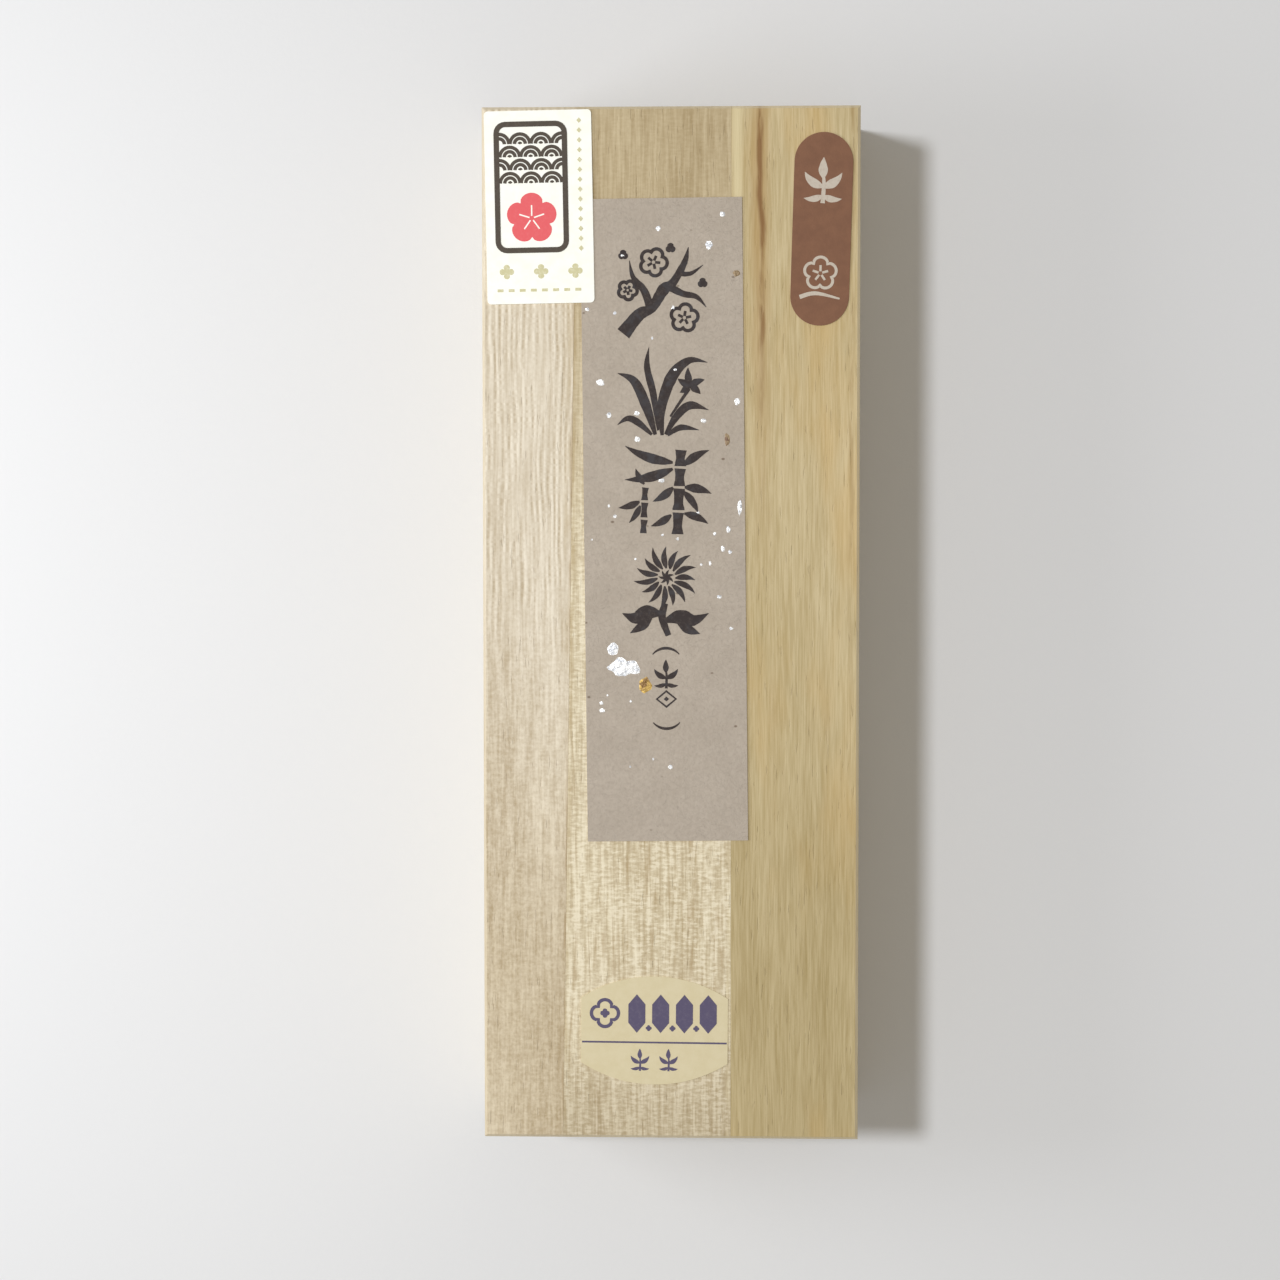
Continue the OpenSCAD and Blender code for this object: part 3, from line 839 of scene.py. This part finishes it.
def dress_price_sticker():
    label = Label("price_sticker", PRICE_TURN)
    violet = printed("price_violet", (96, 89, 114), (124, 116, 132), wear=0.35)
    half = 10.65
    rule = [[(-half, PRICE_RULE_Y, 0.26), (half, PRICE_RULE_Y, 0.26)]]
    gems = [gem(GEM_X + GEM_STEP * i, 2.5, 2.5, 5.7) for i in range(4)]
    dots = [blossom_outline(GEM_X + GEM_STEP * (i + 0.5), 0.35, 0.45, petals=4, count=16) for i in range(3)]
    rim = traced(blossom_outline(*ROSETTE_AT, 2.0, petals=4, depth=0.34, count=40), 0.5)
    heart = [blossom_outline(*ROSETTE_AT, 0.7, petals=4, count=16)]
    sprigs = tea_sprig(-2.1, -4.4, 3.2) + tea_sprig(2.1, -4.4, 3.2)
    label.draw("price_print", violet, "print_violet", rule + sprigs, [rim], gems + dots + heart)


# ---------- foil flakes ----------

def loose_parts(obj):
    """The separate solids of a node's mesh, as lists of points."""
    bm = bmesh.new()
    bm.from_mesh(obj.data)
    bmesh.ops.remove_doubles(bm, verts=bm.verts, dist=0.001 * MM)
    parts, seen = [], set()
    for start in bm.verts:
        if start in seen:
            continue
        stack, points = [start], []
        while stack:
            vert = stack.pop()
            if vert not in seen:
                seen.add(vert)
                points.append(vert.co.copy())
                stack += [edge.other_vert(vert) for edge in vert.link_edges]
        parts.append(points)
    bm.free()
    return parts


def crumpled_flake(bm, points):
    """A torn, crumpled scrap of leaf over the outline of a flat CAD flake."""
    low = Vector([min(p[k] for p in points) for k in range(3)])
    high = Vector([max(p[k] for p in points) for k in range(3)])
    middle, half = (low + high) / 2, (high - low) / 2
    around, rings = (26, 5) if half.x > 0.9 * MM else (14, 3)
    centre = bm.verts.new((middle.x, middle.y, high.z))
    rows = []
    for ring in range(1, rings + 1):
        row = []
        for i in range(around):
            a = 2 * math.pi * i / around
            tear = 1.08 + 0.45 * noise.noise(Vector((math.cos(a) * 1.6, math.sin(a) * 1.6, middle.x / MM)))
            reach = ring / rings * tear
            x, y = middle.x + half.x * reach * math.cos(a), middle.y + half.y * reach * math.sin(a)
            crease = noise.noise(Vector((x / MM * 2.3, y / MM * 2.3, 0.7)))
            lift = 0.02 + 0.07 * abs(crease) if ring < rings else 0.005
            row.append(bm.verts.new((x, y, low.z + lift * MM)))
        rows.append(row)
    under = bm.verts.new((middle.x, middle.y, low.z - 0.01 * MM))
    rows.append([bm.verts.new((v.co.x, v.co.y, low.z - 0.01 * MM)) for v in rows[-1]])
    for i in range(around):
        j = (i + 1) % around
        bm.faces.new((centre, rows[0][i], rows[0][j]))
        bm.faces.new((under, rows[-1][j], rows[-1][i]))
        for inner, outer in zip(rows, rows[1:]):
            bm.faces.new((inner[i], outer[i], outer[j], inner[j]))


def gold_leaf():
    """The large gold scrap is bright and the small ones, higher on the slip, have tarnished brown; on both,
    the facets are painted in a lit and a shaded tone, as painted highlight and shade.
    """
    f = Finish("gold_leaf", roughness=0.4, metallic=0.3)
    old = f.span(f.spots()[1], 0.0, 5.0)
    facet = f.facets(1.7)
    # Painted highlight and shade: each facet takes a lit or a shaded tone of the gold, and of the tarnished
    # brown.
    bright = f.mix(f.span(facet, 0.3, 0.8), (216, 180, 96), (136, 102, 54))
    brown = f.mix(f.span(facet, 0.3, 0.8), (152, 130, 100), (120, 94, 74))
    f.set("Base Color", f.mix(old, bright, brown))
    f.set("Normal", f.bump(f.noise(f.place(2), 3, 0.7), 0.12))
    return f.material


def lay_flakes(node, finish):
    parts = loose_parts(NODES[node])

    def build(bm):
        for points in parts:
            crumpled_flake(bm, points)
    piece = add_piece(node + "_leaf", build, finish, "lid")
    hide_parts(node)


# ---------- the bed ----------

BED_INSET = 0.4
BED_CROWN = 1.7
BED_VOXEL = 1.2
BED_ROUND = 1.8
# The room between the stick and the nest's sides and floor, and between the blown cloth and its space
NEST_SLACK = 0.2
NEST_FLOOR_SLACK = 0.25
SIDE_MARGIN = 0.2
RISE_MARGIN = 0.1
# How far up from the bed's underside and from the nest's floor the cloth stays as it lies
HELD_DEPTH = 1.0
NEST_DEPTH = 0.5
# The cloth is blown up at ten times its size, where the solver is steady
SIM_SCALE = 10.0
SIM_MM = MM * SIM_SCALE
SIM_FRAMES = 20
FOLD_DEPTH = 0.55
FOLD_WIDTH = 0.75


def solid_box(name, low, high):
    bm = bmesh.new()
    corners = [(x, y, z) for x in (low.x, high.x) for y in (low.y, high.y) for z in (low.z, high.z)]
    bmesh.ops.convex_hull(bm, input=[bm.verts.new(p) for p in corners])
    mesh = bpy.data.meshes.new(name)
    bm.to_mesh(mesh)
    bm.free()
    return new_object(name, mesh)


def settled_mesh(obj):
    """The mesh of obj with its modifiers worked out."""
    depsgraph = bpy.context.evaluated_depsgraph_get()
    return bpy.data.meshes.new_from_object(obj.evaluated_get(depsgraph))


def bed_blank():
    """The bed before it is stuffed: a block with a nest, a little smaller than the space it fills."""
    low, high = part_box("bed_cloth")
    stick_low, stick_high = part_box("ink_stick")
    inset = Vector((BED_INSET, BED_INSET, 0)) * MM
    block = solid_box("bed_block", low + inset, high - inset - Vector((0, 0, BED_CROWN * MM)))
    nest_gap = Vector((BED_INSET + NEST_SLACK, BED_INSET + NEST_SLACK, NEST_FLOOR_SLACK)) * MM
    nest_high = stick_high + nest_gap
    nest_high.z = high.z + 5 * MM
    nest = solid_box("bed_nest", stick_low - nest_gap, nest_high)
    for obj in (block, nest):
        obj.data.transform(Matrix.Scale(SIM_SCALE, 4))
    modify(block, "soften", "BEVEL", width=BED_ROUND * SIM_MM, segments=4)
    modify(block, "nest", "BOOLEAN", operation="DIFFERENCE", object=nest)
    modify(block, "skin", "REMESH", mode="VOXEL", voxel_size=BED_VOXEL * SIM_MM)
    mesh = settled_mesh(block)
    bpy.data.objects.remove(block)
    bpy.data.objects.remove(nest)
    return mesh


def stuff(obj, base_z, nest_z):
    """Blows the bed's skin up from inside, holding its underside and the nest's floor."""
    rest = [v.co.copy() for v in obj.data.vertices]
    held = obj.vertex_groups.new(name="held")
    for i, co in enumerate(rest):
        if co.z < base_z + HELD_DEPTH * SIM_MM:
            held.add([i], 1.0, "REPLACE")
    cloth = modify(obj, "cloth", "CLOTH")
    assign(cloth.settings, vertex_group_mass="held", use_pressure=True, uniform_pressure_force=4.0, quality=6,
           shrink_min=-0.06, bending_stiffness=0.3)
    cloth.settings.effector_weights.gravity = 0.0
    cloth.collision_settings.use_collision = False
    scene = bpy.context.scene
    for number in range(1, SIM_FRAMES + 1):
        scene.frame_set(number)
    blown = settled_mesh(obj)
    obj.modifiers.remove(cloth)
    scene.frame_set(1)
    side_cap = (BED_INSET - SIDE_MARGIN) * SIM_MM
    rise_cap = (BED_CROWN - RISE_MARGIN) * SIM_MM
    for vert, start, end in zip(obj.data.vertices, rest, blown.vertices):
        move = end.co - start
        across = Vector((move.x, move.y, 0))
        if across.length > side_cap:
            across *= side_cap / across.length
        rise = max(-0.2 * rise_cap, min(rise_cap, move.z))
        if start.z < nest_z + NEST_DEPTH * SIM_MM:
            rise = 0.0
        vert.co = start + across + Vector((0, 0, rise))


def crease_corners(obj, low, high, nest_corner):
    """Folds a mitre into the cloth from each corner of the nest to the bed's own corner."""
    for vert in obj.data.vertices:
        if vert.co.z < (low.z + high.z) / 2:
            continue
        for sx, sy in ((-1, -1), (-1, 1), (1, -1), (1, 1)):
            start = Vector((sx * nest_corner.x, sy * nest_corner.y))
            fold = Vector((sx * high.x, sy * high.y)) - start
            point = Vector((vert.co.x, vert.co.y)) - start
            t = max(0.0, min(1.0, point.dot(fold) / fold.length_squared))
            off = (point - fold * t).length
            vert.co.z -= FOLD_DEPTH * MM * math.exp(-(off / (FOLD_WIDTH * MM)) ** 2)


def make_bed():
    low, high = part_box("bed_cloth")
    nest_low, nest_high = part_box("ink_stick")
    obj = new_object("bed_cushion", bed_blank())
    stuff(obj, low.z * SIM_SCALE, nest_low.z * SIM_SCALE)
    obj.data.transform(Matrix.Scale(1 / SIM_SCALE, 4))
    modify(obj, "finer", "SUBSURF", levels=1, render_levels=1)
    fine_mesh = settled_mesh(obj)
    obj.modifiers.clear()
    obj.data = fine_mesh
    crease_corners(obj, low, high, nest_high)
    obj.data.shade_smooth()
    obj.data.materials.clear()
    obj.data.materials.append(satin())
    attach(obj, "bed")
    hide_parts("bed_cloth", "bed_wadding")


# ---------- the stick ----------

# The relief's layout, as on the moulded face: [x, y, length, turn] of each leaf, and the cane's joints
RELIEF_CANE = (5.2, 2.2, (-52, -31, -8, 17, 41, 52))
RELIEF_LEAVES = (
    (4.2, 44, 14, 140), (4.2, 41, 14, 168), (6.2, 42, 8, 68), (4.2, 20, 14, 130), (4.2, 17, 14, 158),
    (6.2, 18, 8, 62), (4.2, -5, 13, 138), (4.2, -8, 14, 166), (6.2, -8, 6.5, 55), (4.2, -28, 13, 145),
    (4.2, -31, 13.5, 170))
RELIEF_RATIO = 0.2
FIELD_DEPTH = 0.8
RELIEF_H = 0.5
# The gap at each of the cane's joints, and how far the gilding spreads past the relief's sides
CANE_GAP = 0.7
GILT_GROWTH = 0.08
# The gilding starts this deep in the field, and lies this much above the relief
GILT_ROOT = 0.05
GILT_LIFT = 0.02
# Sections of the relief, as points of (across, up the side, up the crown)
DOMED = ((-1, 0, 0), (-1, 1, 0), (-0.62, 1, 0.7), (0, 1, 1), (0.62, 1, 0.7), (1, 1, 0), (1, 0, 0))
VEINED = ((-1, 0, 0), (-1, 1, 0), (-0.6, 1, 0.9), (-0.14, 1, 0.7), (0, 1, 0.1), (0.14, 1, 0.7), (0.6, 1, 0.9),
          (1, 1, 0), (1, 0, 0))


def moulded_bar(bm, line, low, high, crown, shape):
    """A bar with this section along a line of (x, y, width)."""
    rows = []
    for i, (x, y, width) in enumerate(line):
        before, after = line[max(i - 1, 0)], line[min(i + 1, len(line) - 1)]
        along = Vector((after[0] - before[0], after[1] - before[1])).normalized()
        side = Vector((-along.y, along.x)) * width / 2
        rise = crown * min(1.0, width / 1.2)
        rows.append([bm.verts.new((x + s * side.x, y + s * side.y, low + (high - low) * up + rise * dome))
                     for s, up, dome in shape])
    loft(bm, rows)


def lens_line(x, y, length, angle, count=16):
    """A pointed leaf between two arcs, as a line with widths."""
    a = math.radians(angle)
    line = []
    for i in range(count + 1):
        t = i / count
        width = length * RELIEF_RATIO * math.sin(math.pi * t) ** 0.85 + GILT_GROWTH
        line.append((x + math.cos(a) * length * t, y + math.sin(a) * length * t, width))
    return line


def gild_stick():
    low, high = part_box("ink_stick")
    field_z = high.z / MM - FIELD_DEPTH
    root, top = field_z - GILT_ROOT, field_z + RELIEF_H + GILT_LIFT
    gold = gilding()

    def leaves(bm):
        for leaf in RELIEF_LEAVES:
            moulded_bar(bm, lens_line(*leaf), root, top, 0.2, VEINED)
        bm.transform(Matrix.Scale(MM, 4))

    def cane(bm):
        x, width, joints = RELIEF_CANE
        for start, end in zip(joints, joints[1:]):
            length = end - start - CANE_GAP
            line = []
            for i in range(13):
                t = i / 12
                pinch = 1 - 0.10 * math.sin(math.pi * t)
                wide = (width + GILT_GROWTH) * pinch if 0 < i < 12 else width * 0.86
                line.append((x, start + CANE_GAP / 2 + length * t, wide))
            moulded_bar(bm, line, root, top, 0.18, DOMED)
        bm.transform(Matrix.Scale(MM, 4))

    for name, build in (("gilt_leaves", leaves), ("gilt_cane", cane)):
        piece = add_piece(name, build, gold, "stick")
        for polygon in piece.data.polygons:
            polygon.use_smooth = abs(polygon.normal.z) > 0.5


# ---------- finishes for the CAD nodes ----------

SEAM_EASE = 0.5


def seam_points(obj):
    """The points of a board's outer edge along the seam between the lid and the case."""
    seam_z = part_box("lid_strip_left")[0].z
    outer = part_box("base_floor")[1]
    near = 0.1 * MM
    return [v.index for v in obj.data.vertices if abs(v.co.z - seam_z) < near
            and (abs(v.co.x) > outer.x - near or abs(v.co.y) > outer.y - near)]


def finish_node(name, material, ease=0.0, seam=False):
    """Gives a CAD node its material, and rounds its sharp edges by ease mm, and more along the seam."""
    obj = NODES[name]
    obj.data.materials.clear()
    obj.data.materials.append(material)
    if ease:
        custom = obj.data.attributes.get("custom_normal")
        if custom:
            obj.data.attributes.remove(custom)
        obj.data.shade_flat()
        modify(obj, "weld", "WELD", merge_threshold=0.002 * MM)
        if seam:
            obj.vertex_groups.new(name="seam").add(seam_points(obj), 1.0, "REPLACE")
            modify(obj, "groove", "BEVEL", width=SEAM_EASE * MM, segments=2, limit_method="VGROUP",
                   vertex_group="seam")
        modify(obj, "ease", "BEVEL", width=ease * MM, segments=2, limit_method="ANGLE",
               angle_limit=math.radians(40))


def finish_wood():
    glue_line = dict(x=-14.8, lean=0.0152, wander=0.25)
    finish_node("lid_strip_left", kiri(
        "kiri_pale", (238, 229, 208), (190, 174, 144), slow=0.32, stripes=0.22, combed=0.66, fibre=0.27,
        speckle=0.3, flecks=0.28, pores=0.12, zone=(-24, 20), pith=(-160, -40), ring_gap=6, seed=1.3,
        streaks=[Streak(width=1.9, color=(200, 182, 145), strength=0.45, fade=(-30, 20), **glue_line),
                 Streak(width=0.35, color=(178, 154, 114), strength=0.6, **glue_line)],
        tints=[((-60, 10), (239, 232, 222), (255, 253, 255))]), ease=0.05)
    finish_node("lid_strip_centre", kiri(
        "kiri_flecked", (238, 228, 202), (190, 173, 139), slow=0.35, stripes=0.3, fibre=0.3, speckle=0.25,
        flecks=0.72, lines=0.4, pores=0.15, zone=(-5, 66), pith=(40, -140), ring_gap=7, seed=4.1,
        streaks=[Streak(width=0.9, color=(190, 170, 130), strength=0.6, **glue_line),
                 Streak(8.4, 0, 0.5, (236, 224, 190), 0.7, fade=(-20, -60))],
        tints=[((5, 64), (255, 253, 250), (221, 211, 193)),
               ((-74, -58), (232, 229, 225), (255, 255, 255))]), ease=0.05)
    finish_node("lid_strip_right", kiri(
        "kiri_yellow", (219, 203, 165), (174, 154, 107), slow=0.35, stripes=0.18, combed=0.12, fibre=0.36,
        lines=0.12, pores=0.12, warm=0.45, pith=(120, -30), ring_gap=4.5, seed=7.7,
        streaks=[Streak(9.6, 0, 1.1, (222, 208, 168), 0.75, fade=(20, 60), broken=False, wander=0.2),
                 Streak(13.6, -0.010, 2.1, (180, 148, 96), 0.6, fade=(0, 60), broken=False, wander=0.8),
                 Streak(13.75, -0.0107, 0.7, (134, 96, 54), 0.9, fade=(12, 55), wander=0.8),
                 Streak(26.3, 0, 0.5, (160, 132, 84), 0.6, fade=(-30, 40))],
        fibre_per_mm=5.2, tints=[((-70, 30), (240, 237, 228), (255, 253, 250))]), ease=0.05)
    # Every sloping edge face of the case's boards and of the battens takes the dark painted shade meant for
    # the seam's groove.
    body = dict(slow=0.4, stripes=0.35, fibre=0.4, pores=0.2, run=0.3, rings=0.5, fibre_per_mm=4.0,
                edge=GROOVE_PAINTED_SHADE)
    side = ((230, 217, 188), (190, 171, 134))
    end = ((228, 215, 186), (188, 169, 132))
    batten = ((228, 214, 184), (192, 172, 135))
    for name, tones, seed, pith, along_x, ease, seam in (
            ("base_side_left", side, 2.2, (-60, 120), False, 0.1, True),
            ("base_side_right", side, 3.9, (90, 110), False, 0.1, True),
            ("base_floor", side, 5.4, (30, -90), False, 0.1, False),
            ("base_end_head", end, 6.1, (-80, 100), True, 0.1, True),
            ("base_end_foot", end, 8.3, (-80, 100), True, 0.1, True),
            ("lid_batten_left", batten, 1.1, (-90, -60), False, 0.15, False),
            ("lid_batten_right", batten, 2.7, (-90, -60), False, 0.15, False),
            ("lid_batten_head", batten, 3.3, (-90, -60), True, 0.15, False),
            ("lid_batten_foot", batten, 4.9, (-90, -60), True, 0.15, False)):
        wood = kiri("kiri_" + name, *tones, seed=seed, pith=pith, along_x=along_x, **body)
        finish_node(name, wood, ease, seam)
    peg = kiri("peg_wood", (200, 172, 124), (156, 124, 80), slow=0.6, stripes=0.5, fibre=0.4, ring_gap=1.2,
               seed=9.2)
    finish_node("side_pegs", peg)
    finish_node("floor_pegs", peg)


def finish_labels():
    finish_node("title_slip", washi())
    finish_node("seal_sticker", sticker_paper("seal_paper", (255, 255, 250), (253, 252, 238), 0.45, 0.01))
    finish_node("kind_label", sticker_paper("brown_paper", (132, 90, 64), (122, 82, 58), 0.7, 0.05))
    finish_node("price_sticker", sticker_paper("price_paper", (220, 207, 171), (214, 200, 161), 0.5, 0.012))


set_stage()
finish_wood()
finish_labels()
dress_slip()
dress_seal()
dress_kind_label()
dress_price_sticker()
# Silver leaf: white as the painted highlight of its facets and grey as their painted shade.
lay_flakes("silver_flakes", foil("silver_leaf", (255, 255, 255), (214, 216, 222), 0.35))
lay_flakes("gold_flakes", gold_leaf())
finish_node("bed_card", grey_board())
make_bed()
finish_node("ink_stick", soot_ink())
gild_stick()
